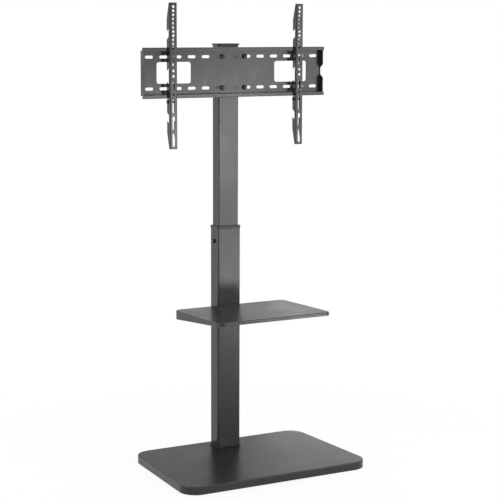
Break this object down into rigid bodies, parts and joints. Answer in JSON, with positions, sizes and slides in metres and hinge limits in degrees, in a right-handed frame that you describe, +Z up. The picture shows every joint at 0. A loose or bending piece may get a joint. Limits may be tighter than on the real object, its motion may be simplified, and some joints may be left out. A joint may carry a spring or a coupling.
{
  "type": "television floor stand",
  "caption": "Floor stand for a flat television: flat base, two-part height-adjustable column, small shelf, slotted plate and hook-on arms that slide sideways.",
  "frame": {"origin": "on the floor, under the middle of the base", "axes": "+Z up, +X to the right as seen from the front, +Y to the back; the arms' front faces look along -Y"},
  "size_m": [0.6644, 0.448, 1.5075],
  "materials": {
    "powder_coat": "satin",
    "black_coat": "satin",
    "black_plastic": "matte",
    "black_screw": "satin",
    "zinc_steel": "satin",
    "rubber_pad": "matte"
  },
  "bodies": {
    "stand": {"base_tray": "powder_coat", "base_spine": "powder_coat", "front_brace": "powder_coat", "rear_brace": "powder_coat", "rubber_pads": "rubber_pad", "column_foot": "black_coat", "foot_bolts": "black_screw", "lower_column": "powder_coat", "column_collar": "black_plastic", "height_lock_bolt": "black_screw", "height_lock_nut": "black_screw", "shelf": "powder_coat", "shelf_bracket": "powder_coat", "shelf_bolts": "black_screw", "shelf_weld_nuts": "zinc_steel", "shelf_stud_nuts": "zinc_steel"},
    "head": {"upper_column": "powder_coat", "column_glide": "black_plastic", "column_cap": "black_plastic", "head_bracket": "powder_coat", "cross_bolts": "black_screw", "cross_bolt_nuts": "black_screw", "wall_plate": "powder_coat", "plate_bolts": "black_screw", "plate_washers": "black_screw"},
    "arm_left": {"left_arm": "powder_coat"},
    "arm_right": {"right_arm": "powder_coat"},
    "screw_left": {"left_safety_screw": "black_screw"},
    "screw_right": {"right_safety_screw": "black_screw"}
  },
  "joints": [
    {"name": "column_height", "type": "slide", "parent": "stand", "child": "head", "axis": [0, 0, 1], "range_m": [0, 0.18]},
    {"name": "left_arm_slide", "type": "slide", "parent": "head", "child": "arm_left", "axis": [1, 0, 0], "range_m": [-0.08, 0.18]},
    {"name": "right_arm_slide", "type": "slide", "parent": "head", "child": "arm_right", "axis": [1, 0, 0], "range_m": [-0.18, 0.08]},
    {"name": "left_screw_out", "type": "slide", "parent": "arm_left", "child": "screw_left", "axis": [-1, 0, 0], "range_m": [0, 0.02]},
    {"name": "right_screw_out", "type": "slide", "parent": "arm_right", "child": "screw_right", "axis": [-1, 0, 0], "range_m": [0, 0.02]}
  ]
}
